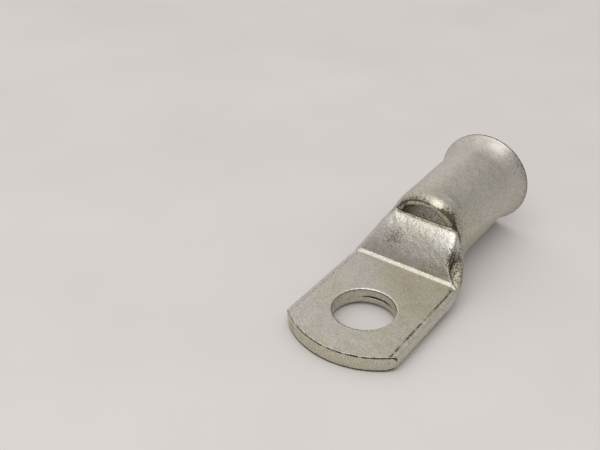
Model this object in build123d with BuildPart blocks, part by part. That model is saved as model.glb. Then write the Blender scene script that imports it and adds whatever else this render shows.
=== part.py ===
from build123d import *
from math import asin, cos, degrees, radians, sin, sqrt, tan
import os

# Cable lug made from one length of tube: a flattened palm with a stud hole,
# a neck with a sheared inspection window, a round barrel and a flared mouth.
# Origin: centre of the stud hole on the underside of the palm.
# X runs from the palm to the mouth, Z stands up from the palm. Millimetres.

# Tube
tube_od = 14.8
wall = 1.4
axis_height = 6.9
mouth_x = 43.4

# Flared mouth: the rim is broken by two bevels on each side
flare_od = 17.3
flare_length = 4.65
rim_length = 0.35
rim_draw_in = 0.18
rim_break = 0.60
rim_shape = [(0.63, -0.15), (1.00, 1.00)]
bore_rim_shape = [(0.63, 0.52), (1.00, 1.00)]

# Palm: the tube pressed flat, its two plies almost touching
seam_gap = 0.06
seam_overrun = 0.3
palm_width = 21.0
tip_distance = 11.3
tip_radius = 14.3
stud_hole_d = 10.5
hole_rollover = 0.25
hole_burr_break = 0.12

# Neck: the bend line, the ramp pressed down behind it and the window
bend_x = 13.3
bend_half_width = 9.8
crease_half_width = 6.6
sill_half_width = 6.3
bend_facet_length = 0.6
bend_facet_angle = 26
ramp_start_angle = 68
ramp_end_angle = 38
window_x = 19.0
sill_height = 10.4
shoulder_round = 1.2
arch_lip = 0.04
arch_rollover = 0.7
roll_length = 1.3
roll_overrun = 0.15
neck_lead = 1.8
neck_settle = 3.5

# Sizes that follow from these
tube_r = tube_od / 2
bore_r = tube_r - wall
flare_r = flare_od / 2
rim_x = mouth_x - rim_length
flare_x = rim_x - flare_length
flare_rise = flare_r - tube_r
palm_half = palm_width / 2
palm_thickness = 2 * wall + seam_gap
palm_flat = palm_half - palm_thickness / 2
tip_x = -tip_distance
neck_x = bend_x - neck_lead
round_x = window_x + neck_settle
window_length = window_x - bend_x
tube_bottom = axis_height - tube_r
tube_top = axis_height + tube_r
sill_chord = sqrt(tube_r**2 - (sill_height - axis_height) ** 2)
roll_crown = tube_top - arch_rollover - sill_height
roll_r = (sill_chord**2 + roll_crown**2) / (2 * roll_crown)
roll_axis_height = sill_height + roll_crown - roll_r

# Neck stations. Each row holds the place along the neck, the share of the
# palm's extra width that is left, the shares of its flat length left on top
# and below, and the shares reached so far of the bottom's drop, the top's
# rise and the widest point's lift. The list runs under the pressed ramp; the
# two rows after it lead from the window's arch to the round tube.
sill_rise = (sill_height - palm_thickness) / (tube_top - palm_thickness)
pressed_stations = [
    (neck_x, 1.00, 1.00, 1.00, 0.00, 0.00, 0.00),
    (bend_x, 0.93, 0.97, 0.80, 0.03, 0.00, 0.08),
    (bend_x + 0.30 * window_length, 0.83, 0.85, 0.60, 0.15, 0.08, 0.23),
    (bend_x + 0.65 * window_length, 0.55, 0.63, 0.35, 0.50, 0.32, 0.57),
    (window_x, 0.12, 0.53, 0.12, 0.90, sill_rise, 0.66),
]
arch_station = (window_x, 0.12, 0.05, 0.12, 0.90, 0.96, 0.66)
settled_station = (window_x + 0.50 * neck_settle, 0.04, 0.06, 0.11, 1.00, 1.00, 0.92)

# The plies part just behind the bend, so the hollow's stations start there.
# At the window its top is rounder than the outside, which leaves more metal
# under the ramp's shoulders.
parting_x = bend_x + 0.15 * window_length
parting_station = (parting_x, 0.89, 0.92, 0.70, 0.08, 0.04, 0.14)
throat_station = (window_x, 0.12, 0.30, 0.12, 0.90, sill_rise, 0.66)
hollow_stations = [parting_station, pressed_stations[3], throat_station]
round_split = degrees(asin(0.1))


def flattened_outline(half_width, flat_above, flat_below, middle, bottom, top):
    """Two flat runs joined by quarter ellipses on each side."""
    below = middle - bottom
    above = top - middle
    side_below = half_width - flat_below
    side_above = half_width - flat_above
    Line((-flat_below, bottom), (flat_below, bottom))
    EllipticalCenterArc((flat_below, middle), side_below, below, 270, arc_size=90)
    EllipticalCenterArc((flat_above, middle), side_above, above, 0, arc_size=90)
    Line((flat_above, top), (-flat_above, top))
    EllipticalCenterArc((-flat_above, middle), side_above, above, 90, arc_size=90)
    EllipticalCenterArc((-flat_below, middle), side_below, below, 180, arc_size=90)


def round_section(radius):
    """The full circle, split at the same six places as the flat sections."""
    side_arc = 90 - round_split
    arcs = [
        (270 - round_split, 2 * round_split),
        (270 + round_split, side_arc),
        (0, side_arc),
        (90 - round_split, 2 * round_split),
        (90 + round_split, side_arc),
        (180, side_arc),
    ]
    plane = Plane.YZ.offset(round_x)
    centre = (0, axis_height)
    return Face(Wire([plane * CenterArc(centre, radius, start, size) for start, size in arcs]))


def neck_sections(inset, stations):
    """Cross sections of the neck at the given stations, drawn in by the inset."""
    sections = []
    for x, spread, flat_above, flat_below, drop, rise, lift in stations:
        half_width = tube_r + (palm_half - tube_r) * spread - inset
        bottom = tube_bottom * drop + inset
        top = palm_thickness + (tube_top - palm_thickness) * rise - inset
        widest = palm_thickness / 2 + (axis_height - palm_thickness / 2) * lift
        middle = min(widest, top - (top - bottom) / 4)
        flats = (palm_flat * flat_above, palm_flat * flat_below)
        with BuildLine(Plane.YZ.offset(x)) as outline:
            flattened_outline(half_width, *flats, middle, bottom, top)
        sections.append(Face(outline.wire()))
    return sections


def arch_sections(inset):
    """Cross sections from the sheared arch, a hair proud, to the round tube."""
    arch = neck_sections(inset - arch_lip, [arch_station])
    settled = neck_sections(inset, [settled_station])
    return [*arch, *settled, round_section(tube_r - inset)]


def ramp_side(inset):
    """Side view of the bend facet and ramp, with a base that stays inside the neck."""
    facet = radians(bend_facet_angle)
    start = radians(ramp_start_angle)
    end = radians(ramp_end_angle)
    foot_x = bend_x + bend_facet_length * cos(facet) + inset * sin(start)
    foot_z = palm_thickness + bend_facet_length * sin(facet) - inset * cos(start)
    crest_z = sill_height - inset / cos(end)
    heel = (bend_x + inset * tan(start / 2), palm_thickness - inset)
    floor_z = palm_thickness / 2
    with BuildSketch(Plane.XZ.offset(-palm_half)) as side:
        with BuildLine():
            ramp = Spline(
                (foot_x, foot_z),
                (window_x, crest_z),
                tangents=[(cos(start), sin(start)), (cos(end), sin(end))],
            )
            Line(heel, ramp @ 0)
            Polyline(ramp @ 1, (window_x, palm_thickness), (heel[0], floor_z), heel)
        make_face()
    return side.sketch


def ramp_plan(inset):
    """Plan view of the ramp, which narrows quickly behind the bend."""
    with BuildSketch(Plane.XY) as plan:
        with BuildLine():
            near = Bezier(
                (bend_x, bend_half_width - inset),
                (bend_x + 0.47 * window_length, crease_half_width - inset),
                (window_x, sill_half_width - inset),
            )
            far = mirror(near, about=Plane.XZ)
            Line(near @ 0, far @ 0)
            Line(near @ 1, far @ 1)
        make_face()
    return plan.sketch


def tube_profile(radius, rim_turn, shape):
    """Half section of the barrel and its flare, with the rim broken in or out."""
    rim_z = axis_height + radius + flare_rise
    rim = [(rim_x + rim_length * along, rim_z + rim_turn * out) for along, out in shape]
    with BuildSketch(Plane.XZ) as profile:
        with BuildLine():
            flare = Bezier(
                (flare_x, axis_height + radius),
                ((flare_x + rim_x) / 2, axis_height + radius),
                (rim_x, rim_z),
            )
            Polyline(
                flare @ 1,
                *rim,
                (mouth_x, axis_height),
                (round_x, axis_height),
                (round_x, axis_height + radius),
                flare @ 0,
            )
        make_face()
    return profile.sketch


tube_axis = Axis((0, 0, axis_height), (1, 0, 0))

with BuildPart() as lug:
    # Palm blank, cut to its rounded tip
    with BuildSketch(Plane.YZ.offset(tip_x)):
        with Locations((0, palm_thickness / 2)):
            SlotOverall(palm_width, palm_thickness)
    extrude(amount=neck_x - tip_x)
    with BuildSketch(Plane.XY):
        with Locations((tip_x + tip_radius, 0)):
            Circle(tip_radius)
        with Locations((neck_x, 0)):
            Rectangle(neck_x - tip_x - tip_radius, palm_width, align=(Align.MAX, Align.CENTER))
    extrude(amount=palm_thickness, mode=Mode.INTERSECT)

    # Folded sides of the neck, up to the window
    loft(sections=neck_sections(0, pressed_stations))

    # The pressed ramp between its creases
    with BuildPart() as hump:
        extrude(ramp_side(0), palm_width)
        extrude(ramp_plan(0), tube_top, mode=Mode.INTERSECT)
        shoulders = hump.edges().filter_by(GeomType.BSPLINE).sort_by(Axis.Z)[-2:]
        fillet(shoulders, shoulder_round)

    # Barrel and flare
    loft(sections=arch_sections(0))
    revolve(tube_profile(tube_r, -rim_draw_in, rim_shape), tube_axis)

    # Everything inside: the bore, the funnel behind the ramp and the seam
    with BuildPart(mode=Mode.SUBTRACT) as hollow:
        loft(sections=neck_sections(wall, hollow_stations))
        with BuildPart() as funnel:
            extrude(ramp_side(wall), palm_width)
            extrude(ramp_plan(wall), tube_top, mode=Mode.INTERSECT)
        loft(sections=arch_sections(wall))
        revolve(tube_profile(bore_r, rim_break, bore_rim_shape), tube_axis)
        with BuildSketch(Plane.YZ.offset(tip_x)):
            with Locations((0, palm_thickness / 2)):
                SlotOverall(palm_width - 2 * wall, seam_gap)
        extrude(amount=parting_x + seam_overrun - tip_x)

    # Stud hole, drawn in at the top and slightly broken at the bottom
    with Locations((0, 0, palm_thickness)):
        Hole(stud_hole_d / 2, palm_thickness)
    hole_edges = lug.edges().filter_by(GeomType.CIRCLE)
    hole_edges = hole_edges.filter_by(lambda e: abs(e.radius - stud_hole_d / 2) < 0.01)
    chamfer(hole_edges.sort_by(Axis.Z)[-1], hole_rollover)
    chamfer(hole_edges.sort_by(Axis.Z)[0], hole_burr_break)

    # Edge of the window's arch, rolled over most at its crown
    with BuildSketch(Plane.XZ):
        with BuildLine():
            face_point = (window_x, roll_axis_height + roll_r)
            exit_point = (window_x + roll_length, face_point[1] + arch_rollover + roll_overrun)
            roll = Spline(face_point, exit_point, tangents=[(0.3, 1), (1, 0.2)])
            Polyline(exit_point, (window_x, exit_point[1]), face_point)
        make_face()
    revolve(axis=Axis((0, 0, roll_axis_height), (1, 0, 0)), mode=Mode.SUBTRACT)

lug.part.label = "lug"
os.makedirs("parts", exist_ok=True)
export_step(lug.part, "parts/lug.step")
print(round(lug.part.volume, 1), lug.part.bounding_box())
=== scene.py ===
# %% [markdown]
# # A tin-plated cable lug
# The real lug is one length of copper tube. One end is pressed flat into a palm,
# the wall above the bend is sheared across and pushed down into a ramp, which
# leaves a window, and the other end is flared so that the strands go in easily.
# At the end the whole piece is dipped in tin. Here it is made the same way: as
# one closed skin of folded sheet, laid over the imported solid.

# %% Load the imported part
import bmesh
import bpy
import math
import numpy as np
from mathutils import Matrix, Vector, noise


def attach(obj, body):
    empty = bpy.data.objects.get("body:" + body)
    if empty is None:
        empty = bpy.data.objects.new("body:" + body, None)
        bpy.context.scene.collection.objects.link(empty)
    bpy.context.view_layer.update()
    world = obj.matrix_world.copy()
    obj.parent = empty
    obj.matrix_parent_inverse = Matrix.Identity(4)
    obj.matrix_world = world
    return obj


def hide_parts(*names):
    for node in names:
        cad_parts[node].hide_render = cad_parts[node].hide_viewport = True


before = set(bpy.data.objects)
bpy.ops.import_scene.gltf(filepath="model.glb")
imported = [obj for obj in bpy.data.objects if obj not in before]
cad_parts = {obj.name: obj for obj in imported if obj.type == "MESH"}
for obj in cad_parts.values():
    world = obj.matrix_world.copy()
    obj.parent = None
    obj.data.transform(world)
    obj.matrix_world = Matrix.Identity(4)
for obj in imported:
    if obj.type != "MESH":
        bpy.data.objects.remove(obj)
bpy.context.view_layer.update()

# %% [markdown]
# ## The camera
# The photograph was taken from in front of the palm, about a hand's width above
# the table, with a short telephoto view. The place and the angles come from
# matching the outline of the lug, so the lens only needs setting once.

# %% Camera
lens_mm = 57.162
camera_place = (-0.106109, -0.060038, 0.099740)
camera_turn = (56.3789, -0.6254, -55.0916)

camera = bpy.data.objects.new("camera", bpy.data.cameras.new("camera"))
bpy.context.scene.collection.objects.link(camera)
camera.location = camera_place
camera.rotation_euler = [math.radians(a) for a in camera_turn]
camera.data.lens = lens_mm
camera.data.sensor_width = 36
camera.data.clip_start = 0.005
camera.data.clip_end = 20
bpy.context.scene.camera = camera
print("camera is", round(Vector(camera_place).length * 1000), "mm from the stud hole")

# %% [markdown]
# ## Working sizes
# A tube maker gives the outside and the wall, and a press tool gives the rest.
# These are the same sizes as the solid's, in millimetres, and the mesh is
# turned into metres at the very end.

# %% Sizes of the tube, the palm and the press tool
tube_r, wall, axis_z = 7.4, 1.4, 6.9
palm_half, palm_thick, palm_flat = 10.5, 2.86, 9.07
tip_x, tip_radius = -11.3, 14.3
bend_x, facet_end_x, window_x, round_x = 13.3, 13.92, 19.0, 22.5
sill_z = 10.4
flare_x, rim_x, mouth_x, flare_rise = 38.4, 43.05, 43.4, 1.25
hole_r = 5.25
tube_bottom, tube_top = axis_z - tube_r, axis_z + tube_r
around = 184
half_around = around // 2
slit_column = 28
print("wall", wall, "mm, palm", palm_thick, "mm thick,", around, "points round the sheet")

# %% [markdown]
# ## Curves that a press would leave
# Sheet metal never changes its slope at a jump, so every size that varies along
# the neck runs through its stations on a curve that can't overshoot.

# %% Fair curves
def ease(start, end, x):
    t = np.clip((np.asarray(x, float) - start) / (end - start), 0, 1)
    return t * t * (3 - 2 * t)


def fair(x, knots, values):
    knots, values = np.asarray(knots, float), np.asarray(values, float)
    step = np.diff(knots)
    slope = np.diff(values) / step
    turn = np.zeros(len(knots))
    turn[0], turn[-1] = slope[0], slope[-1]
    same = slope[:-1] * slope[1:] > 0
    both = slope[:-1][same] * slope[1:][same]
    turn[1:-1][same] = 2 * both / (slope[:-1][same] + slope[1:][same])
    x = np.clip(x, knots[0], knots[-1])
    i = np.clip(np.searchsorted(knots, x, side="right") - 1, 0, len(step) - 1)
    t = (x - knots[i]) / step[i]
    ends = (2 * t**3 - 3 * t**2 + 1) * values[i] + (3 * t**2 - 2 * t**3) * values[i + 1]
    turns = (t**3 - 2 * t**2 + t) * turn[i] + (t**3 - t**2) * turn[i + 1]
    return ends + turns * step[i]


# %% [markdown]
# ## The neck, station by station
# Each row says how far the tube has been pressed at one place: how much of the
# palm's extra width is left, how long the flats above and below still are, how
# far the bottom has dropped, the top has risen and the widest point has lifted.

# %% Stations of the pressed side and of the arch behind the window
sill_rise = (sill_z - palm_thick) / (tube_top - palm_thick)
pressed = np.array([
    (11.5, 1.00, 1.00, 1.00, 0.00, 0.00, 0.00),
    (13.3, 0.94, 0.97, 0.80, 0.03, 0.00, 0.08),
    (15.0, 0.84, 0.85, 0.60, 0.15, 0.08, 0.23),
    (17.0, 0.57, 0.63, 0.35, 0.50, 0.32, 0.55),
    (19.0, 0.16, 0.53, 0.12, 0.90, sill_rise, 0.68),
])
arched = np.array([
    (19.00, 0.16, 0.05, 0.12, 0.90, 0.985, 0.68),
    (20.75, 0.05, 0.06, 0.11, 1.00, 1.00, 0.92),
    (22.50, 0.00, 0.08, 0.08, 1.00, 1.00, 1.00),
])


def station(x, table):
    spread, above, below, drop, rise, lift = (fair(x, table[:, 0], table[:, k]) for k in range(1, 7))
    return {
        "half": tube_r + (palm_half - tube_r) * spread,
        "above": palm_flat * above,
        "below": palm_flat * below,
        "bottom": tube_bottom * drop,
        "top": palm_thick + (tube_top - palm_thick) * rise,
        "middle": palm_thick / 2 + (axis_z - palm_thick / 2) * lift,
        "square": 0.62 + 0.38 * float(ease(11.5, 14.5, x)),
    }


# %% [markdown]
# ## The ramp
# The sheared wall is pushed down by a blunt wedge, so seen from the side it
# starts with a small flat step at the bend and then bulges up to the sill, and
# seen from above it narrows towards the window.

# %% Ramp height, width and shoulders
ramp_side_x = (bend_x, 13.82, facet_end_x, 14.00, 14.50, 15.30, 16.80, 18.20, 19.00)
ramp_side_z = (2.86, 3.125, 3.19, 3.34, 4.60, 6.20, 8.58, 10.05, 10.45)
ramp_edge = {
    -1: ((13.30, 13.75, 14.20, 14.70, 15.40, 17.00, 18.00, 19.00), (9.95, 9.40, 8.50, 7.75, 7.40, 7.45, 7.35, 6.65)),
    1: ((13.3, 14.5, 15.5, 16.5, 17.5, 18.3, 19.0), (9.95, 9.20, 8.45, 7.80, 7.35, 7.15, 6.75)),
}


def ramp(x, side):
    height = float(fair(x, ramp_side_x, ramp_side_z))
    width = float(fair(x, *ramp_edge[side]))
    shoulder = float(fair(x, (13.3, 14.2, 15.5, 17.5, 19.0), (0.05, 0.45, 1.0, 1.35, 1.6))) * (1.6 if side > 0 else 1)
    if side > 0:
        blend = 0.05 + 2.4 * float(ease(13.35, 14.4, x)) - 1.1 * float(ease(16.0, 18.8, x))
    else:
        blend = 0.05 + 0.45 * float(ease(13.9, 15.5, x)) + 0.25 * float(ease(15.5, 17.5, x))
    return height, width, shoulder, blend


print("ramp height at the bend, middle and sill:", [round(ramp(x, 1)[0], 2) for x in (13.3, 16, 19)])


# %% [markdown]
# ## One cross section
# A section is easiest to blend as a distance from its own middle for each
# direction. The pressed tube and the ramp are both written that way, and a soft
# maximum of the two gives the creases where the ramp meets the folds.

# %% Section as distance against direction
def tube_half(s):
    """Half outline of a pressed tube from the top centre round to the bottom centre."""
    flat = np.linspace(0, 1, 60)
    quarter = np.linspace(0, math.pi / 2, 60)
    rise, fall = np.sin(quarter) ** s["square"], np.clip(np.cos(quarter), 0, 1) ** s["square"]
    y = np.concatenate([
        flat * s["above"],
        s["above"] + (s["half"] - s["above"]) * rise,
        s["below"] + (s["half"] - s["below"]) * np.cos(quarter),
        flat[::-1] * s["below"],
    ])
    z = np.concatenate([
        np.full(60, s["top"]),
        s["middle"] + (s["top"] - s["middle"]) * fall,
        s["middle"] - (s["middle"] - s["bottom"]) * np.sin(quarter),
        np.full(60, s["bottom"]),
    ])
    return y, z


def ramp_half(height, width, shoulder, middle):
    quarter = np.linspace(0, math.pi / 2, 30)
    flat = np.linspace(0, 1, 40)
    low = middle - 0.01
    y = np.concatenate([flat * (width - shoulder), width - shoulder + shoulder * np.sin(quarter),
                        np.full(40, width), width * flat[::-1]])
    z = np.concatenate([np.full(40, height), height - shoulder + shoulder * np.cos(quarter),
                        height - shoulder - flat * (height - shoulder - low), np.full(40, low)])
    return y, z


def reach(y, z, middle, angles):
    """Distance from the middle to the outline in each direction."""
    a = np.arctan2(z - middle, y)
    order = np.argsort(a)
    return np.interp(angles, a[order], np.hypot(y, z - middle)[order])


def soft_max(a, b, k):
    h = np.clip(k - np.abs(a - b), 0, None) / k
    return np.maximum(a, b) + h * h * k / 4


# %% [markdown]
# ## Where the shear stopped
# On the real lug the cut ends a little above the folds. There the sill and the
# arch behind it are one edge, so both sections must pass through one point. The
# sheared edge of the arch is also drawn in, more at one end than at the other.

# %% Ends of the cut and the drawn-in edge of the arch
cut_end = {-1: math.radians(37.5), 1: math.radians(45)}
draw_in_crown = 0.72
draw_in_length = 1.45


def directions(s):
    y, z = tube_half(s)
    a = np.concatenate([np.arctan2(z - s["middle"], y), np.linspace(-math.pi / 2, math.pi / 2, 361)])
    return np.unique(np.round(a, 7))


def front_reach(x, angles, side):
    s = station(x, pressed)
    r = reach(*tube_half(s), s["middle"], angles)
    if x > bend_x + 1e-6:
        height, width, shoulder, blend = ramp(x, side)
        over = ramp_half(height, width, min(shoulder, 0.8 * (height - s["middle"])), s["middle"])
        edge_turn = math.atan2(height - s["middle"], width)
        beside = 0.05 + (blend - 0.05) * ease(edge_turn + 0.3, edge_turn - 0.1, angles)
        r = soft_max(r, reach(*over, s["middle"], angles), beside)
    return r


def rear_reach(x, angles):
    s = station(x, arched)
    return reach(*tube_half(s), s["middle"], angles)


def draw_in(angles, side):
    """How far the arch's edge is pulled in, fading out below the end of the cut."""
    end = cut_end[side]
    at_end = float((rear_reach(window_x, [end]) - front_reach(window_x, [end], side))[0])
    above = at_end + (draw_in_crown - at_end) * ease(end, end + 0.5, angles)
    return np.where(angles >= end, above, at_end * ease(end - 0.75, end, angles))


for side in (-1, 1):
    print("the arch is drawn in", round(float(draw_in(np.array([cut_end[side]]), side)[0]), 2), "mm where the cut ends, side", side)


# %% [markdown]
# ## Points along one section
# Spreading the points by length keeps the mesh even, but the column at the end
# of the cut has to stay on it, so the spacing is stretched to both sides of it.

# %% One section as points
share = np.linspace(0, 1, half_around + 1)
density = 1 + 1.1 * np.exp(-((share - 0.5) / 0.13) ** 2)
column_share = np.concatenate([[0], np.cumsum((density[1:] + density[:-1]) / 2)])
column_share /= column_share[-1]
free_share = column_share[slit_column]


def spread_points(y, z, angles, pin, pin_angle):
    """Points of a half outline, with the pinned column at an angle as far as pin says."""
    length = np.concatenate([[0], np.cumsum(np.hypot(np.diff(y), np.diff(z)))])
    at_pin = np.interp(-pin_angle, -angles, length) / length[-1]
    a = free_share + (at_pin - free_share) * pin
    part = np.where(
        column_share <= free_share,
        column_share * a / free_share,
        a + (column_share - free_share) * (1 - a) / (1 - free_share),
    )
    want = part * length[-1]
    return np.interp(want, length, y), np.interp(want, length, z)


def full_ring(x, halves):
    """Joins the -Y half and the +Y half into one ring that starts at the top centre."""
    (y1, z1), (y2, z2) = halves
    y = np.concatenate([-y1, y2[-2:0:-1]])
    z = np.concatenate([z1, z2[-2:0:-1]])
    return np.stack([np.full(around, x), y, z], 1)


def front_ring(x):
    s = station(x, pressed)
    angles = directions(s)[::-1]
    halves = []
    for side in (-1, 1):
        r = front_reach(x, angles, side)
        common = rear_reach(window_x, angles) - draw_in(angles, side)
        gap = np.where(angles < cut_end[side], common - front_reach(window_x, angles, side), 0)
        r = r + gap * ease(16.2, window_x, x)
        y, z = r * np.cos(angles), s["middle"] + r * np.sin(angles)
        halves.append(spread_points(y, z, angles, float(ease(14, 18.6, x)), cut_end[side]))
    return full_ring(x, halves)


def rear_ring(x, sheared_edge):
    """Ring behind the window; sheared_edge says whether the arch's edge is drawn in."""
    s = station(x, arched)
    angles = directions(s)[::-1]
    back = x - window_x
    round_over = max(0.0, 1 - back / draw_in_length) ** 1.9
    slow_fade = 1 - float(ease(0, 2.6, back))
    halves = []
    for side in (-1, 1):
        leg = 1 - ease(cut_end[side] - 0.02, cut_end[side] + 0.22, angles)
        profile = round_over + (slow_fade - round_over) * leg
        if not sheared_edge:
            profile = slow_fade * leg
        r = rear_reach(x, angles) - draw_in(angles, side) * profile
        y, z = r * np.cos(angles), s["middle"] + r * np.sin(angles)
        halves.append(spread_points(y, z, angles, 1 - float(ease(20, 24.5, x)), cut_end[side]))
    return full_ring(x, halves)


# %% [markdown]
# ## Where the rows go
# Rows are close together where the sheet turns sharply: at the bend, at the
# sill, at the arch and at the mouth. The barrel needs few.

# %% Rows from the tip to the window
palm_rows = np.concatenate([np.linspace(tip_x, -6.7, 13), np.linspace(-6.7, 6.7, 34)[1:], np.linspace(6.7, 12.6, 15)[1:]])
bend_rows = np.array([12.85, 13.03, 13.15, 13.23, 13.28, 13.32, 13.37, 13.45, 13.56, 13.67, 13.77, 13.84, 13.89, 13.93, 13.97, 14.02, 14.09, 14.2])
ramp_rows = np.concatenate([np.linspace(14.2, 18.1, 29)[1:], [18.25, 18.4, 18.52, 18.62, 18.7, 18.78, 18.85, 18.9, 18.95, 19.0]])
front_rows = np.concatenate([palm_rows, bend_rows, ramp_rows])
front = np.array([front_ring(x) for x in front_rows])
print(len(front_rows), "rows in front of the window")

# %% Rows from the window to the mouth
arch_rows = window_x + np.array([0, 0.02, 0.06, 0.13, 0.22, 0.34, 0.48, 0.65, 0.85, 1.08, 1.35, 1.7, 2.1, 2.55, 3.0, 3.5])
barrel_rows = np.linspace(round_x, flare_x, 22)[1:]
flare_rows = np.linspace(flare_x, rim_x, 15)[1:]
rear = np.array([rear_ring(x, True) for x in arch_rows] + [rear_ring(round_x, True)] * (len(barrel_rows) + len(flare_rows)))
bore_side = np.array([rear_ring(x, False) for x in arch_rows] + [rear_ring(round_x, False)] * (len(barrel_rows) + len(flare_rows)))
print(len(rear), "rows behind it")

# %% [markdown]
# ## Barrel and flare
# The mouth was opened over a rounded cone, so the flare starts gently. The
# barrel of the real lug is also a hair slimmer in its middle than at its ends.

# %% Barrel and flare
flare_arc = ((rim_x - flare_x) ** 2 + flare_rise**2) / (2 * flare_rise)


def barrel_growth(x):
    waist = -0.07 * math.exp(-(((x - 27.5) / 4.0) ** 2))
    if x <= flare_x:
        return waist
    return flare_arc - math.sqrt(flare_arc**2 - (x - flare_x) ** 2) + waist


def turns_of(ring):
    return np.unwrap(np.arctan2(ring[:, 2] - axis_z, ring[:, 1]))


even_turns = math.pi / 2 + math.pi * np.concatenate([column_share, 2 - column_share[-2:0:-1]])
round_rows = np.concatenate([barrel_rows, flare_rows])


def fill_round(grid, inset=0.0):
    """Writes the round rows, each at its own radius, easing the columns to an even spread."""
    first = len(arch_rows)
    neck_turns = turns_of(grid[first - 1])
    for k, x in enumerate(round_rows):
        even = float(ease(round_x, round_x + 3.0, x))
        turn = neck_turns * (1 - even) + even_turns * even
        r = tube_r + barrel_growth(x) - inset
        grid[first + k] = np.stack([np.full(around, x), r * np.cos(turn), axis_z + r * np.sin(turn)], 1)


def straighten(grid):
    """The left side of the neck runs straighter into the barrel than the right one."""
    x, y = grid[..., 0], grid[..., 1]
    shift = 0.40 * np.exp(-(((x - 18.9) / 1.1) ** 2)) - 0.16 * np.exp(-(((x - 21.8) / 1.2) ** 2)) + 0.13 * ease(22, 26, x)
    grid[..., 1] += shift * ease(2.0, 6.5, y)


fill_round(rear)
fill_round(bore_side)
for grid in (front, rear, bore_side):
    straighten(grid)
print("flare reaches", round(tube_r + barrel_growth(rim_x), 2), "mm from the axis")

# %% [markdown]
# ## The tip
# The end of the palm is cropped to an arc. Moving the rows along the sheet, more
# at its sides than in the middle, lays the last one on that arc without any
# change to the palm's surface.

# %% Tip arc
arc_start = -1.0


def tip_edge(y):
    return tip_x + tip_radius - np.sqrt(tip_radius**2 - y**2)


def crop_tip(points):
    x, y = points[..., 0], points[..., 1]
    pull = (tip_edge(y) - arc_start) / (tip_x - arc_start)
    points[..., 0] = np.where(x < arc_start, arc_start + (x - arc_start) * pull, x)


crop_tip(front)
print("the tip's corners are at x =", round(float(tip_edge(palm_half)), 2), "mm")

# %% [markdown]
# ## Outer and inner skin
# Tube has two skins a wall apart. The inner one is found by going inwards from
# the outer one along its own direction, as the metal does when it is folded, so
# the palm comes out as two plies that almost touch. The ramp's creases are
# finer than the wall is thick, so they are smoothed out before that step.

# %% Inward direction and inner skin
def outward(grid):
    along = np.gradient(grid, axis=0)
    across = np.roll(grid, -1, 1) - np.roll(grid, 1, 1)
    n = np.cross(across, along)
    n /= np.linalg.norm(n, axis=2, keepdims=True)
    middle = grid.mean(axis=1, keepdims=True)
    if ((grid - middle) * n).sum(2).mean() < 0:
        n = -n
    return n


soft_front = front.copy()
softened = (ease(12.8, 13.5, front_rows) * ease(17.5, 15.8, front_rows))[:, None, None]
for _ in range(24):
    soft_front += 0.25 * softened * (np.roll(soft_front, 1, 1) + np.roll(soft_front, -1, 1) - 2 * soft_front)

ring_columns = np.arange(around)
columns_down = np.minimum(ring_columns, around - ring_columns)
cut_columns = columns_down < slit_column
front_out = outward(front)
bore_out = outward(bore_side)
shared = (front_out[-1] + bore_out[0]) / 2
shared /= np.linalg.norm(shared, axis=1, keepdims=True)
front_out[-1][~cut_columns] = shared[~cut_columns]
bore_out[0][~cut_columns] = shared[~cut_columns]
soft_out = outward(soft_front)
soft_out[front_rows < 12.8] = front_out[front_rows < 12.8]
front_in = soft_front - (wall + 0.028 * ease(12.0, 9.0, front[..., 0]))[..., None] * soft_out
rear_in = bore_side - wall * bore_out
fill_round(rear_in, wall)
for k, x in enumerate(arch_rows):
    fade = max(0.0, 1 - (x - window_x) / 0.6) ** 1.5
    y, z = rear_in[k, :, 1], rear_in[k, :, 2] - axis_z
    up = np.degrees(np.arctan2(z, np.abs(y)))
    drag = fade * np.where(y > 0, 0.26 * ease(32, 55, up), 0.26 * ease(26, 40, up) + 0.32 * ease(26, 38, up) * ease(85, 60, up))
    rear_in[k, :, 1:] -= (drag / np.hypot(y, z))[:, None] * np.stack([y, z], 1)
front_in[-1][~cut_columns] = rear_in[0][~cut_columns]
rear_out = outward(rear)
print("bore", round(2 * float(np.hypot(rear_in[len(arch_rows) + 5, 0, 1], rear_in[len(arch_rows) + 5, 0, 2] - axis_z)), 2), "mm")

# %% [markdown]
# ## Edges that a shear leaves
# Where the sheet was cut, its outer corner is drawn down a little and the last
# of the metal tears and stands up as a fine burr. At the sill that gives a small
# rounded lip with a shallow groove in front of it.

# %% Lip along the sill
def near(value, centre, width):
    return np.exp(-(((value - centre) / width) ** 2))


across_sill = ease(slit_column + 1, slit_column - 4, columns_down)
to_edge = window_x - front[..., 0]
lip = 0.03 * near(to_edge, 0.55, 0.18)
rounding = 0.32 * (1 - np.sqrt(np.clip(1 - np.clip(1 - to_edge / 0.42, 0, 1) ** 2, 0, 1)))
front = front - ((lip + rounding) * across_sill[None, :])[..., None] * front_out
print("sill edge is lowered by up to", round(float(rounding.max()), 2), "mm")

# %% [markdown]
# ## Marks of the press and of handling
# Nothing pressed is perfectly flat. Slow noise moves the skin by a few
# hundredths of a millimetre, which is enough to bend a reflection, and the edge
# of the die leaves a fine broken line along each side of the palm.

# %% Slow waviness and the die's edge line
def noise_at(points, size, seed):
    """Smooth noise from -1 to 1 for an array of points, with features of about the given size."""
    flat = points.reshape(-1, 3) / size + seed * 7.31
    return np.array([noise.noise(Vector(p)) for p in flat]).reshape(points.shape[:-1])


die_column = int(np.argmin(np.abs(np.abs(front[10, :half_around // 2, 1]) - 9.55)))


def slow_waves(grid):
    return 0.030 * noise_at(grid, 5.0, 1) + 0.012 * noise_at(grid, 1.6, 2)


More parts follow.
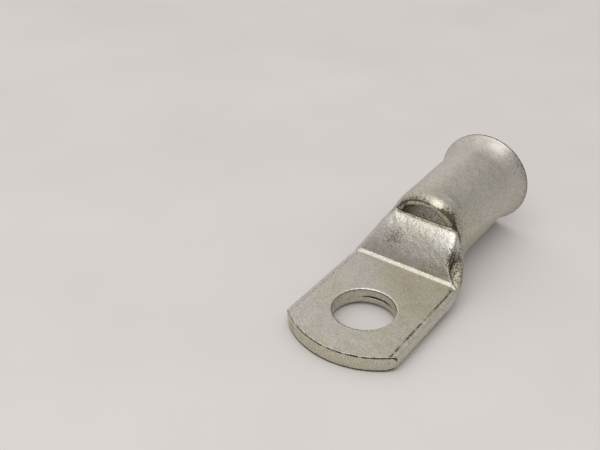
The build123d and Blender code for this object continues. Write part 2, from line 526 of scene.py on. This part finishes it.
broken = np.clip(0.80 + 0.9 * noise_at(front, 1.3, 3), 0, 1)
die_line = (columns_down == die_column) * broken * ease(13.1, 12.6, front[..., 0])
front = front + (slow_waves(front) - 0.07 * die_line)[..., None] * front_out
rear = rear + slow_waves(rear)[..., None] * rear_out
print("die line is at y =", round(float(abs(front[10, die_column, 1])), 2), "mm")

# %% [markdown]
# ## One list of points
# The skins, the cut edges and the stud hole are all strips between rows of
# points. Every row is added to one list, so that neighbours share their points
# and the piece is closed, as the real one is.

# %% Points, faces and what each point is
points, faces = [], []
rub_and_highlight, soiled_and_shaded, torn = [], [], []


def add(row, rub_and_highlight_amount=0.0, soil_and_shade=0.0, cut=0.0):
    """Adds points and returns their numbers. The rub, soil and cut marks are read by the material; the rub mark also
    carries painted highlight, and the soil mark also carries painted shade.
    """
    row = np.asarray(row, float).reshape(-1, 3)
    first = len(points)
    points.extend(row.tolist())
    for marks, value in ((rub_and_highlight, rub_and_highlight_amount), (soiled_and_shaded, soil_and_shade), (torn, cut)):
        marks.extend(np.broadcast_to(np.asarray(value, float), len(row)).tolist())
    return np.arange(first, first + len(row))


def strip(one, two, closed=True):
    """Quads between two rows of the same length."""
    n = len(one)
    for k in range(n if closed else n - 1):
        m = (k + 1) % n
        faces.append((one[k], one[m], two[m], two[k]))


def skin(numbers, skip=()):
    for i in range(len(numbers) - 1):
        for k in range(around):
            m = (k + 1) % around
            if (i, k) not in skip:
                faces.append((numbers[i][k], numbers[i][m], numbers[i + 1][m], numbers[i + 1][k]))


# %% [markdown]
# ## Room for the stud hole
# A hole in a grid looks ragged unless the grid is opened out round it. A block
# of cells is left out of each ply, and rings then lead from its square edge to
# the round one.

# %% Cells left out round the hole, on both plies
block_first = int(np.argmin(np.abs(front_rows + 6.7)))
block_last = int(np.argmin(np.abs(front_rows - 6.7)))
block_half = int(np.sum(np.abs(front[block_first, :half_around, 1]) < 6.7)) // 2
top_columns = [k % around for k in range(-block_half, block_half + 1)]
low_columns = [half_around - block_half + k for k in range(2 * block_half + 1)]
left_out = set()
for columns in (top_columns, low_columns):
    for i in range(block_first, block_last):
        left_out.update((i, k) for k in columns[:-1])
print("hole block:", block_last - block_first, "by", 2 * block_half, "cells, half width",
      round(float(abs(front[block_first, block_half, 1])), 2), "mm")


def block_loop(numbers, columns):
    """Numbers round the edge of the block, in order."""
    near_side = [numbers[block_first][k] for k in columns]
    up = [numbers[i][columns[-1]] for i in range(block_first + 1, block_last)]
    far_side = [numbers[block_last][k] for k in columns[::-1]]
    down = [numbers[i][columns[0]] for i in range(block_last - 1, block_first, -1)]
    return near_side + up + far_side + down


# %% Outer and inner skins in the list
def soil_and_shade_on(grid, behind):
    """Marks that darken the tin, dirt and painted shade together. In front of the window: painted shade in the right
    crease and round it, in the crease by the left fold, at the ramp's base above the bead, and in the sill's groove
    and turned-down edge. Besides these there is a darker film over the right fold, darker ends of the sill, dirt
    mottling below the sill and a stain on the ramp. Behind the window: the arch's sheared edge, where the band on the
    -Y side is painted dark reflection as well as grime, specks round the window, and darker places low on the -Y side
    of the barrel and on the flare near the rim. The die line's mark is added beside this one.
    """
    x, y, z = grid[..., 0], grid[..., 1], grid[..., 2]
    if behind:
        top = ease(7.0, 10.5, z)
        off = np.clip(x - 19.25, 0, None)
        crown = near(y, -1.7, 1.0)
        # band: painted dark reflection on the -Y side of the arch's rolled edge, as well as grime
        band = 0.6 * near(x, 19.1, 0.30) * ease(-2.2, -3.4, y)
        rim = band + 0.6 * near(x, 19.0, 0.12) + 0.62 * np.exp(-off / 0.65) * (1 - 0.8 * crown) * ease(-6.5, -4.5, y)
        specks = (0.25 + 0.45 * near(y, -5.0, 2.2)) * np.exp(-off / 3.2) * (1 - 0.8 * crown) * np.where(y < 0, ease(3.5, 9.0, z), top)
        below = 0.35 * ease(8.5, 5.5, z) * ease(-2, -6, y) * ease(27, 20, x)
        brim = 0.45 * near(x, 42.8, 0.6) * ease(-3.5, -5.5, y)
        return np.clip(rim * top + specks + below + brim, 0, 1.4)
    off_edge = -y - fair(x, *ramp_edge[-1])
    # crease and patch: painted shade in the right crease at the ramp's edge and round it
    crease = near(off_edge, 0.05, 0.30) * ease(13.4, 13.8, x) * ease(16.6, 15.2, x)
    patch = near(off_edge, -0.1, 1.2) * near(x, 15.8, 1.3) * (z > 3)
    corner = ease(18.2, 18.9, x) * near(np.abs(y), 6.5, 0.6) * (z > 8)
    fold = ease(-0.3, 0.3, off_edge) * ease(13.6, 14.6, x) * ease(2.0, 3.2, z)
    smudge = near(x, 15.6, 1.0) * near(y, 3.8, 1.7) * (z > 3)
    # heel: painted shade at the ramp's base, just above the bead
    heel = near(x, 14.02, 0.07) * (z > 3)
    # sill: painted shade in the groove in front of the lip and on the turned-down edge, with dirt mottling below the
    # groove
    sill = (1.6 * near(x, 18.50, 0.11) + 0.5 * near(x, 18.1, 0.5) + 1.4 * ease(18.9, 18.99, x)) * across_sill
    # left_fold: painted shade in the crease between the ramp and the left fold
    left_fold = 0.35 * near(y - fair(x, *ramp_edge[1]), 0.5, 0.6) * ease(13.6, 14.6, x) * (z > 2.5)
    marks = crease + 1.0 * patch + 0.62 * fold + 0.75 * smudge + 0.45 * heel + 0.6 * sill + 0.7 * corner + left_fold
    return np.clip(marks, 0, 1)


sill_band = ease(18.45, 18.6, front[..., 0]) * across_sill


def rub_and_highlight_on(grid):
    """Bright marks, partly rubbing and partly painted light: painted highlight on the bead and on the ramp's
    shoulders, painted light on the palm's shaded sides, and painted sparkle on the tip's top edge.
    """
    x, y, z = grid[..., 0], grid[..., 1], grid[..., 2]
    # bead, shoulder and left are painted highlights on rubbed places; side is painted light on the palm's shaded
    # sides; tip is painted sparkle along the top edge
    bead = 0.6 * near(x, 13.6, 0.35) * (z > 2.5)
    shoulder = 0.9 * near(x, 17.3, 1.2) * near(y, -5.9, 1.8) * (z > 4) + 0.35 * near(x, 17.8, 0.7) * (z > 5)
    left = 0.5 * near(x, 17.6, 0.8) * near(y, 5.0, 1.6) * (z > 4)
    side = 0.4 * ease(9.9, 10.3, np.abs(y)) * (x < 12.5)
    tip = 0.9 * near(x - tip_edge(np.clip(y, -palm_half, palm_half)), 0.0, 0.15) * np.clip(0.3 + 1.6 * noise_at(grid, 0.7, 9), 0, 1) * (z > 2.6)
    return np.clip(bead + shoulder + left + side + tip, 0, 1)


front_numbers = [add(row, rub_and_highlight_amount=w, soil_and_shade=s + d, cut=c)
                 for row, w, s, d, c in zip(front, rub_and_highlight_on(front), soil_and_shade_on(front, False), 1.3 * die_line * np.where(front[..., 1] > 0, 0.5, 1), sill_band)]
rear_soil_and_shade = soil_and_shade_on(rear, True)
# Painted highlight, along with rub, on the arch's crown and on the flare's -Y side near the mouth
rear_rub_and_highlight = 0.7 * near(rear[..., 0], 19.8, 0.5) * near(rear[..., 1], -1.8, 0.9) * (rear[..., 2] > 12)
rear_rub_and_highlight += 1.0 * near(rear[..., 0], 41.9, 1.1) * near(rear[..., 1], -2.4, 1.6) * (rear[..., 2] > 12)
rear_numbers = [add(row, rub_and_highlight_amount=w, soil_and_shade=s) for row, w, s in zip(rear, rear_rub_and_highlight, rear_soil_and_shade)]
# The inner skins get painted shade. In front of the window it is even; behind the window it is darker deeper in the
# bore than near the mouth, and heavier just behind the window on the +Y side.
front_inner = [add(row, soil_and_shade=0.66, cut=0.5) for row in front_in]
rear_inner = [add(row, soil_and_shade=0.61 * float(ease(40, 30, row[0, 0])) + 0.05 + 0.7 * near(row[:, 0], 19.0, 0.6) * (row[:, 1] > 3.5), cut=0.5) for row in rear_in]
uncut = np.where(~cut_columns)[0]
rear_numbers[0][uncut] = front_numbers[-1][uncut]
rear_inner[0][uncut] = front_inner[-1][uncut]
skin(front_numbers, left_out)
skin(front_inner, left_out)
skin(rear_numbers)
skin(rear_inner)
print(len(points), "points in the two skins")

# %% [markdown]
# ## Closing the window's edge
# The sill and the arch are one closed loop of sheared metal. Between its outer
# and its inner corner a few more rows give it the slight belly of a torn edge.

# %% Sheared edge round the window
sill_walk = [k % around for k in range(-slit_column, slit_column + 1)]
arch_walk = [k % around for k in range(slit_column - 1, -slit_column, -1)]


def window_loop(front_row, rear_row):
    return np.array([front_row[k] for k in sill_walk] + [rear_row[k] for k in arch_walk])


outer_loop = window_loop(front_numbers[-1], rear_numbers[0])
inner_loop = window_loop(front_inner[-1], rear_inner[0])
outer_places = np.array([points[k] for k in outer_loop])
inner_places = np.array([points[k] for k in inner_loop])
on_sill = np.array([1.0] * len(sill_walk) + [-1.0] * len(arch_walk))
from_ends = np.minimum(np.arange(len(outer_loop)) % len(sill_walk), len(sill_walk) - 1 - np.arange(len(outer_loop)) % len(sill_walk))
last = outer_loop
dark_length = np.where(outer_places[:, 1] > 0, 17, 9)
ends = ease(dark_length, dark_length - 8, from_ends)
for depth, belly, soil_and_shade in ((0.06, 0.02, 0.9), (0.16, 0.05, 0.5), (0.4, 0.07, 0.30), (0.7, 0.06, 0.30), (0.9, 0.02, 0.6)):
    row = outer_places + (inner_places - outer_places) * depth
    row[:, 0] += belly * on_sill * ease(0, 6, from_ends) * (1 + 0.5 * noise_at(row, 0.6, 4))
    numbers = add(row, soil_and_shade=soil_and_shade + 0.6 * ends, cut=0.8)
    strip(last, numbers)
    last = numbers
strip(last, inner_loop)
print("window edge has", len(outer_loop), "points round it")

# %% [markdown]
# ## The cropped end
# The crop cuts both plies at once, so the end shows the two of them with the
# folds at its corners and a slit between. Its top edge keeps a burr, lit by rub and
# painted sparkle over a broken dark line. Its bottom edge gets a painted contact
# shadow, and the slit gets painted shade where the plies part.

# %% End of the palm
end_outer = front_numbers[0]
end_places = front[0].copy()
end_out = front_out[0]
last = end_outer
on_top = end_places[:, 2] > 2.0
burr = np.clip(noise_at(end_places, 0.35, 5), 0, 1) * on_top
dashes = np.clip(0.75 + 1.2 * noise_at(end_places, 0.9, 8) + 0.5 * ease(6, 9, np.abs(end_places[:, 1])), 0, 1)
for inset, forward, rub_and_highlight_amount, line in (
    (0.00, 0.05, 1.0, 0.0), (0.02, 0.09, 1.0, 0.1), (0.05, 0.12, 0.0, 1.3), (0.24, 0.13, 0.0, 1.4),
    (0.33, 0.13, 0.0, 0.6), (0.42, 0.13, 0.0, 0.0), (0.80, 0.13, 0.0, 0.0), (1.20, 0.13, 0.0, 0.0), (1.40, 0.13, 0.0, 0.0),
):
    row = end_places - inset * end_out
    row[:, 0] = tip_edge(row[:, 1]) - forward
    row[:, 2] += 0.36 * burr * (inset < 0.05)
    # The wear on the burr beads is rub and painted sparkle. line gives a broken dark line under the burr on top and a
    # painted contact shadow along the bottom edge.
    soil_and_shade = 0.06 + line * np.where(on_top, dashes, np.where(end_places[:, 2] < 0.5, 0.8, 0.25))
    numbers = add(row, rub_and_highlight_amount=rub_and_highlight_amount * on_top * (burr > 0.06), cut=0.2 if inset < 0.05 else 0.7, soil_and_shade=soil_and_shade)
    strip(last, numbers)
    last = numbers
slit_places = front_in[0].copy()
slit_places[:, 0] = tip_edge(slit_places[:, 1]) - 0.13
slit_open = near(slit_places[:, 1], 8.2, 0.8) * 0.16
slit_places[:, 2] += slit_open * np.sign(slit_places[:, 2] - palm_thick / 2)
# The slit gets painted shade where the plies part
slit = add(slit_places, soil_and_shade=0.1 + 0.9 * ease(0.01, 0.04, slit_open), cut=1.0)
strip(last, slit)
strip(slit, front_inner[0])
print("end face rows done,", len(points), "points")

# %% [markdown]
# ## The mouth
# The saw left the end square and a light deburr rounded both corners.

# %% Rim of the mouth
rim_out = np.array([(43.12, 0.055), (43.20, 0.085), (43.32, 0.09), (43.38, 0.0), (43.40, -0.16), (43.40, -0.42), (43.40, -0.72), (43.39, -0.93), (43.33, -1.10), (43.22, -1.25)])
last = rear_numbers[-1]
mouth_turn = turns_of(rear[-1])
for x, step in rim_out:
    r = tube_r + flare_rise + step + 0.02 * noise_at(np.stack([np.full(around, x), 9 * np.cos(mouth_turn), 9 * np.sin(mouth_turn)], 1), 1.4, 6)
    row = np.stack([np.full(around, x), r * np.cos(mouth_turn), axis_z + r * np.sin(mouth_turn)], 1)
    # The outer rounding rows get a full soil mark, a painted dark line for the dark that the rounding reflects; the
    # rim's face gets a lighter one
    numbers = add(row, cut=0.5, soil_and_shade=1.0 if step > 0.04 else 0.35)
    strip(last, numbers)
    last = numbers
strip(last, rear_inner[-1])
print("rim closed with", len(rim_out), "rows")

# %% [markdown]
# ## The stud hole
# One punch goes through both plies. It draws the top edge down into a small
# rounding, shears clean for a while and then tears, and the plies stay a hair
# apart, a little more on the side towards the bend.

# %% Stud hole through both plies
def ring_row(turn, radius, height):
    return np.stack([radius * np.cos(turn), radius * np.sin(turn), np.broadcast_to(height, turn.shape)], 1)


def open_out(edge_numbers, to_ring, shares, soil_and_shade=0.0):
    """Rows that lead from the block's square edge to a ring, and the last row's numbers."""
    edge = np.array([points[k] for k in edge_numbers])
    last_row = edge_numbers
    for t in shares:
        numbers_here = add(edge + (to_ring - edge) * t, soil_and_shade=soil_and_shade)
        strip(last_row, numbers_here)
        last_row = numbers_here
    return last_row


top_wall = ((5.52, 2.855), (5.44, 2.84), (5.37, 2.80), (5.31, 2.74), (5.275, 2.66), (5.26, 2.56), (5.25, 2.46), (5.25, 2.2), (5.25, 1.9), (5.255, 1.68), (5.265, 1.46))
low_wall = ((5.42, 0.012), (5.365, 0.05), (5.33, 0.12), (5.31, 0.25), (5.30, 0.5), (5.29, 0.8), (5.28, 1.1), (5.275, 1.40))
for columns, wall_rows, outer_z, inner_sign in ((top_columns, top_wall, 2.86, 1), (low_columns, low_wall, 0.0, -1)):
    outer_edge = np.array(block_loop(front_numbers, columns))
    edge = np.array([points[k] for k in outer_edge])
    turn = np.unwrap(np.arctan2(edge[:, 1], edge[:, 0]))
    start_r = wall_rows[0][0] + 0.12
    last = open_out(outer_edge, ring_row(turn, start_r, outer_z), (0.25, 0.5, 0.75, 1.0))
    bearing = (turn + math.pi) % (2 * math.pi) - math.pi
    parted = 0.004 + 0.17 * np.exp(-(((bearing - 0.06) / 0.50) ** 4))
    ply_z = palm_thick / 2 - 0.20 + inner_sign * parted
    for r, z in wall_rows:
        # The wear on the top rounding is rub and painted highlight, on the arc where the rounding catches the lamp
        rub_and_highlight_amount = 0.9 * near(bearing, 0.5, 0.9) if abs(z - outer_z) < 0.10 else 0.0
        lean = ease(0.3, 1.43, z) if inner_sign < 0 else ease(2.5, 1.43, z)
        height = z + (ply_z - palm_thick / 2) * lean
        row = ring_row(turn, r + 0.012 * noise_at(ring_row(turn, 5.25, z), 0.7, 7), height)
        # edge_line: dark lines at the foot of the top rounding, near the bottom edge and on the near lip
        edge_line = 0.9 * near(z, 2.66, 0.09) + 0.6 * near(z, 0.05, 0.1) + 1.0 * near(np.abs(bearing), math.pi, 1.2) * (z > 2.7)
        numbers = add(row, rub_and_highlight_amount=rub_and_highlight_amount, cut=0.55, soil_and_shade=0.15 * (abs(z - outer_z) > 0.1) + edge_line)
        strip(last, numbers)
        last = numbers
    # The ply corner and the rows between the plies get painted shade where the plies part
    corner = add(ring_row(turn, 5.27 + 0.4 * parted, ply_z), soil_and_shade=ease(0.01, 0.05, parted), cut=0.6)
    strip(last, corner)
    inner_edge = np.array(block_loop(front_inner, columns))
    inner_places = np.array([points[k] for k in inner_edge])
    last = corner
    for t in (0.15, 0.4, 0.7):
        numbers = add(ring_row(turn, 5.30, ply_z) * (1 - t) + inner_places * t, soil_and_shade=0.7, cut=1.0)
        strip(last, numbers)
        last = numbers
    strip(last, inner_edge)
print("stud hole has", len(turn), "points round it,", len(points), "points in all")

# %% [markdown]
# ## The finished mesh
# The list becomes one closed mesh in metres. Its normals are turned outwards
# and its marks are stored on the points, where the material can read them.

# %% Mesh of the lug
used = np.unique(np.array(faces))
renumber = np.full(len(points), -1)
renumber[used] = np.arange(len(used))
places = np.array(points)[used] * 0.001
lug_mesh = bpy.data.meshes.new("lug_sheet")
lug_mesh.from_pydata(places.tolist(), [], renumber[np.array(faces)].tolist())
work = bmesh.new()
work.from_mesh(lug_mesh)
bmesh.ops.recalc_face_normals(work, faces=work.faces[:])
open_edges = sum(1 for e in work.edges if len(e.link_faces) != 2)
volume = work.calc_volume()
work.to_mesh(lug_mesh)
work.free()
lug_mesh.shade_smooth()
for name, marks in (("rub_and_highlight", rub_and_highlight), ("soiled_and_shaded", soiled_and_shaded), ("torn", torn)):
    layer = lug_mesh.attributes.new(name, "FLOAT", "POINT")
    layer.data.foreach_set("value", np.array(marks, np.float32)[used])
lug_sheet = bpy.data.objects.new("lug_sheet", lug_mesh)
bpy.context.scene.collection.objects.link(lug_sheet)
print(len(used), "points,", len(faces), "faces,", open_edges, "open edges, volume", round(volume * 1e9, 1), "mm3")

# %% [markdown]
# ## Tin
# Hot-dipped tin is a soft silvery white with a warm cast. It isn't polished, so
# its reflections are broad, and it freezes with faint patches that lean towards
# pink or towards olive. It is also soft, so it picks up pits, rubs and grey dirt.
# The rub mark also paints highlights, and the dirt mark also paints shade.

# %% A small helper for node materials
def node(tree, kind, inputs=None, **settings):
    """Adds a node; inputs are numbers, colours or other nodes' sockets."""
    n = tree.nodes.new(kind)
    for name, value in settings.items():
        setattr(n, name, value)
    for key, value in (inputs or {}).items():
        if isinstance(value, bpy.types.NodeSocket):
            tree.links.new(value, n.inputs[key])
        else:
            n.inputs[key].default_value = value
    return n


def grain(tree, where, size_mm, detail=3.0, rough=0.55):
    """Noise with features of about the given size, from 0 to 1."""
    return node(tree, "ShaderNodeTexNoise", {"Vector": where, "Scale": 1000 / size_mm, "Detail": detail, "Roughness": rough}).outputs["Fac"]


def levels(tree, value, low, high, to_low=0.0, to_high=1.0):
    return node(tree, "ShaderNodeMapRange", {"Value": value, "From Min": low, "From Max": high, "To Min": to_low, "To Max": to_high}).outputs["Result"]


def mix_colour(tree, share, one, two, blend="MIX"):
    n = node(tree, "ShaderNodeMix", {"Factor": share}, data_type="RGBA", blend_type=blend)
    for key, value in (("A", one), ("B", two)):
        socket = [i for i in n.inputs if i.name == key and i.type == "RGBA"][0]
        if isinstance(value, bpy.types.NodeSocket):
            tree.links.new(value, socket)
        else:
            socket.default_value = value
    return [o for o in n.outputs if o.type == "RGBA"][0]


def sums(tree, operation, one, two):
    return node(tree, "ShaderNodeMath", {0: one, 1: two}, operation=operation).outputs[0]


# %% Tin plate
tin = bpy.data.materials.new("tin_plate")
tin.use_nodes = True
tree = tin.node_tree
tree.nodes.clear()
place = node(tree, "ShaderNodeTexCoord").outputs["Object"]
mark = {name: node(tree, "ShaderNodeAttribute", attribute_name=name).outputs["Fac"] for name in ("rub_and_highlight", "soiled_and_shaded", "torn")}
spot = node(tree, "ShaderNodeSeparateXYZ", {0: place}).outputs
# The patches are also steered by place: olive and a little darker on the -Y side, pinker on the +Y side and along the
# barrel
sideways = levels(tree, spot["Y"], -0.010, 0.010, 0.14, -0.14)
lengthways = levels(tree, spot["X"], 0.018, 0.028, 0.0, -0.12)
patches = levels(tree, sums(tree, "ADD", grain(tree, place, 5.5, 2.0), sums(tree, "ADD", sideways, lengthways)), 0.38, 0.62)
warm = mix_colour(tree, patches, (0.545, 0.508, 0.487, 1), (0.505, 0.484, 0.380, 1))
cloud = levels(tree, grain(tree, place, 1.7, 4.0, 0.65), 0.35, 0.7)
clouded = mix_colour(tree, sums(tree, "MULTIPLY", cloud, 0.75), warm, (0.615, 0.592, 0.545, 1))
fine = levels(tree, grain(tree, place, 0.22, 3.0, 0.75), 0.36, 0.60)
grainy = mix_colour(tree, fine, (0.70, 0.69, 0.66, 1), (1.09, 1.09, 1.08, 1))
torn_tint = mix_colour(tree, mark["torn"], clouded, (0.69, 0.655, 0.550, 1))
# Lighter tint for the rub mark: rubbed tin, and painted highlight where the mark stands for highlight
rub_and_highlight_tint = mix_colour(tree, mark["rub_and_highlight"], torn_tint, (0.72, 0.705, 0.66, 1))
bright = mix_colour(tree, 1.0, rub_and_highlight_tint, grainy, "MULTIPLY")
speckle = grain(tree, place, 0.28, 3.0, 0.65)
# The soil mark darkens the tin as specks and a film: dirt, and also painted shade where the mark stands for shade
broken_dirt_and_shade = levels(tree, sums(tree, "ADD", speckle, sums(tree, "MULTIPLY", mark["soiled_and_shaded"], 0.22)), 0.63, 0.71)
pits = levels(tree, grain(tree, place, 0.45, 2.0, 0.6), 0.61, 0.70, 0.0, 0.24)
soil_and_shade_film = sums(tree, "MULTIPLY", sums(tree, "MULTIPLY", mark["soiled_and_shaded"], mark["soiled_and_shaded"]), 0.38)
dirt_and_shade = sums(tree, "ADD", sums(tree, "MULTIPLY", broken_dirt_and_shade, 0.62), sums(tree, "ADD", pits, soil_and_shade_film))
soiled_and_shaded_tin = mix_colour(tree, dirt_and_shade, bright, (0.095, 0.077, 0.055, 1))
rub = grain(tree, place, 0.9, 5.0, 0.7)
rough = sums(tree, "SUBTRACT", levels(tree, rub, 0.3, 0.7, 0.28, 0.42), sums(tree, "MULTIPLY", mark["rub_and_highlight"], 0.12))
pit_height = sums(tree, "ADD", sums(tree, "MULTIPLY", grain(tree, place, 0.36, 3.0, 0.65), 0.6), sums(tree, "MULTIPLY", grain(tree, place, 1.6, 2.0), 1.0))
bump = node(tree, "ShaderNodeBump", {"Height": pit_height, "Strength": 0.45, "Distance": 0.0002})
shader = node(tree, "ShaderNodeBsdfPrincipled", {"Base Color": soiled_and_shaded_tin, "Roughness": rough, "Metallic": 1.0, "Normal": bump.outputs[0]})
node(tree, "ShaderNodeOutputMaterial", {"Surface": shader.outputs[0]})
lug_mesh.materials.append(tin)
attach(lug_sheet, "root")
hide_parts("lug")
print("tin plate has", len(tree.nodes), "nodes")

# %% [markdown]
# ## The table
# The lug lies on a pale sheet. It touches at two places only, the lower edge of
# its tip and the lowest point of the flare, so the sheet leans by two degrees
# against the palm.

# %% Floor
flare_low_z = float(rear[-1][:, 2].min()) - 0.09
lean = math.atan2(-flare_low_z, rim_x + 0.2 - tip_x)
floor_mesh = bpy.data.meshes.new("table")
half_size = 2.0
floor_mesh.from_pydata([(-half_size, -half_size, 0), (half_size, -half_size, 0), (half_size, half_size, 0), (-half_size, half_size, 0)], [], [(0, 1, 2, 3)])
floor = bpy.data.objects.new("table", floor_mesh)
bpy.context.scene.collection.objects.link(floor)
floor.rotation_euler = (0, lean, 0)
floor.location = (tip_x * 0.001, 0, -0.00002)
paper = bpy.data.materials.new("pale_sheet")
paper.use_nodes = True
sheet = paper.node_tree
sheet.nodes.clear()
where = node(sheet, "ShaderNodeTexCoord").outputs["Object"]
pale = mix_colour(sheet, levels(sheet, grain(sheet, where, 40, 2.0), 0.3, 0.7), (0.635, 0.613, 0.603, 1), (0.675, 0.652, 0.640, 1))
sheet_shader = node(sheet, "ShaderNodeBsdfPrincipled", {"Base Color": pale, "Roughness": 0.85, "Specular IOR Level": 0.2})
node(sheet, "ShaderNodeOutputMaterial", {"Surface": sheet_shader.outputs[0]})
floor_mesh.materials.append(paper)
print("the floor leans by", round(math.degrees(lean), 2), "degrees")

# %% [markdown]
# ## Light
# A bright room with one large window high up. A big soft lamp overhead stands
# for it, and the world gives the rest.

# %% Lamps and world
def soft_lamp(name, place, look_at, size, power, tint=(1, 1, 1)):
    lamp = bpy.data.lights.new(name, "AREA")
    lamp.shape = "RECTANGLE"
    lamp.size, lamp.size_y = size
    lamp.energy = power
    lamp.color = tint
    holder = bpy.data.objects.new(name, lamp)
    bpy.context.scene.collection.objects.link(holder)
    holder.location = place
    holder.rotation_euler = (Vector(look_at) - Vector(place)).to_track_quat("-Z", "Y").to_euler()
    return holder


soft_lamp("ceiling_lamp", (-0.36, -0.02, 0.46), (0.015, 0, 0), (0.56, 0.62), 1.22, (1.0, 0.995, 0.985))
world = bpy.data.worlds.new("room")
bpy.context.scene.world = world
world.use_nodes = True
room = world.node_tree
room.nodes.clear()
direction = node(room, "ShaderNodeTexCoord").outputs["Generated"]
axes = node(room, "ShaderNodeSeparateXYZ", {0: direction}).outputs
overhead = levels(room, axes["Z"], 0.60, 0.97, 0.0, 0.78)
leftward = sums(room, "ADD", sums(room, "MULTIPLY", axes["X"], 0.17), sums(room, "MULTIPLY", axes["Y"], 0.98))
left_wall = levels(room, leftward, 0.40, 0.58, 0.0, 0.36)
behind_camera = levels(room, axes["X"], -0.9, 0.1, -0.17, 0.0)
right_wall = levels(room, axes["Y"], -0.25, -0.85, 0.0, 0.16)
rightward = sums(room, "SUBTRACT", sums(room, "MULTIPLY", axes["Z"], 0.6), sums(room, "MULTIPLY", axes["Y"], 0.8))
dark_corner = levels(room, rightward, 0.80, 0.97, 0.0, -0.18)
sides = sums(room, "ADD", sums(room, "ADD", right_wall, dark_corner), sums(room, "ADD", left_wall, behind_camera))
glow = sums(room, "ADD", 0.495, sums(room, "ADD", overhead, sides))
room_light = node(room, "ShaderNodeBackground", {"Color": (1.0, 0.975, 0.95, 1), "Strength": glow})
node(room, "ShaderNodeOutputWorld", {"Surface": room_light.outputs[0]})
bpy.context.scene.view_settings.view_transform = "Standard"
print("one lamp and the room")
